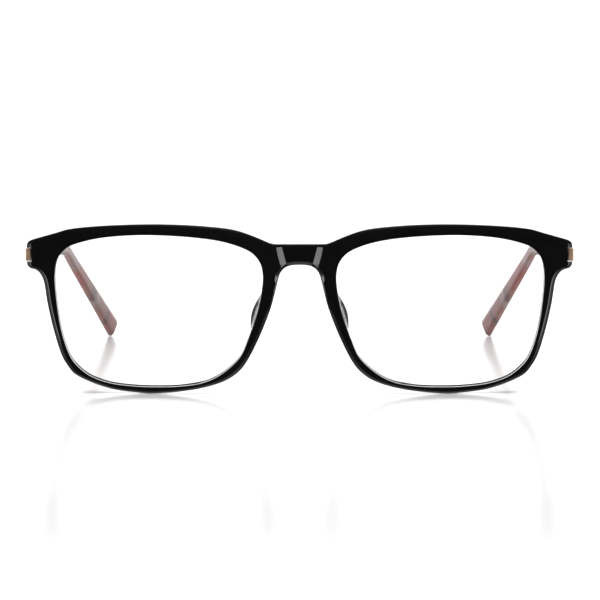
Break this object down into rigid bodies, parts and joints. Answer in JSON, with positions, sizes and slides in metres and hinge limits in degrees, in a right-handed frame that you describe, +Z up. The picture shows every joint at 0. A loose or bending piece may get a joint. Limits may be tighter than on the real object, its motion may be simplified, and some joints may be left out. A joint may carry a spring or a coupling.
{
  "type": "eyeglasses frame",
  "caption": "Full-rim rectangular eyeglasses in black acetate, with clear lenses, slim metal temples that fold on screw hinges, and marbled curved tips.",
  "frame": {"origin": "under the middle of the glasses, on the surface they stand on", "axes": "+X towards the wearer's left, +Y backwards along the open temples, +Z up; the front faces -Y"},
  "size_m": [0.1428, 0.1526, 0.0445],
  "materials": {
    "black_acetate": "polished black acetate",
    "clear_lens": "clear polished lens",
    "rose_gold": "rose gold plating, finely brushed",
    "screw_steel": "bright steel",
    "washer_nylon": "natural nylon",
    "marbled_acetate": "polished translucent acetate, marbled rose, grey and brown"
  },
  "bodies": {
    "front": {"front_frame": "black_acetate", "left_lens": "clear_lens", "right_lens": "clear_lens", "left_nose_pad": "black_acetate", "right_nose_pad": "black_acetate", "left_front_hinge_leaf": "rose_gold", "right_front_hinge_leaf": "rose_gold", "left_upper_leaf_screw": "screw_steel", "left_lower_leaf_screw": "screw_steel", "right_upper_leaf_screw": "screw_steel", "right_lower_leaf_screw": "screw_steel", "left_hinge_screw": "screw_steel", "right_hinge_screw": "screw_steel", "left_upper_hinge_washer": "washer_nylon", "left_lower_hinge_washer": "washer_nylon", "right_upper_hinge_washer": "washer_nylon", "right_lower_hinge_washer": "washer_nylon"},
    "left_temple": {"left_temple_bar": "rose_gold", "left_temple_hinge_leaf": "rose_gold", "left_temple_tip": "marbled_acetate"},
    "right_temple": {"right_temple_bar": "rose_gold", "right_temple_hinge_leaf": "rose_gold", "right_temple_tip": "marbled_acetate"}
  },
  "joints": [
    {"name": "left_temple_fold", "type": "hinge", "parent": "front", "child": "left_temple", "pos_m": [0.0684, -0.0631, 0.0359], "axis": [0, 0.059, 0.9983], "range_deg": [0, 84]},
    {"name": "right_temple_fold", "type": "hinge", "parent": "front", "child": "right_temple", "pos_m": [-0.0684, -0.0631, 0.0359], "axis": [0, -0.059, -0.9983], "range_deg": [0, 71]}
  ]
}
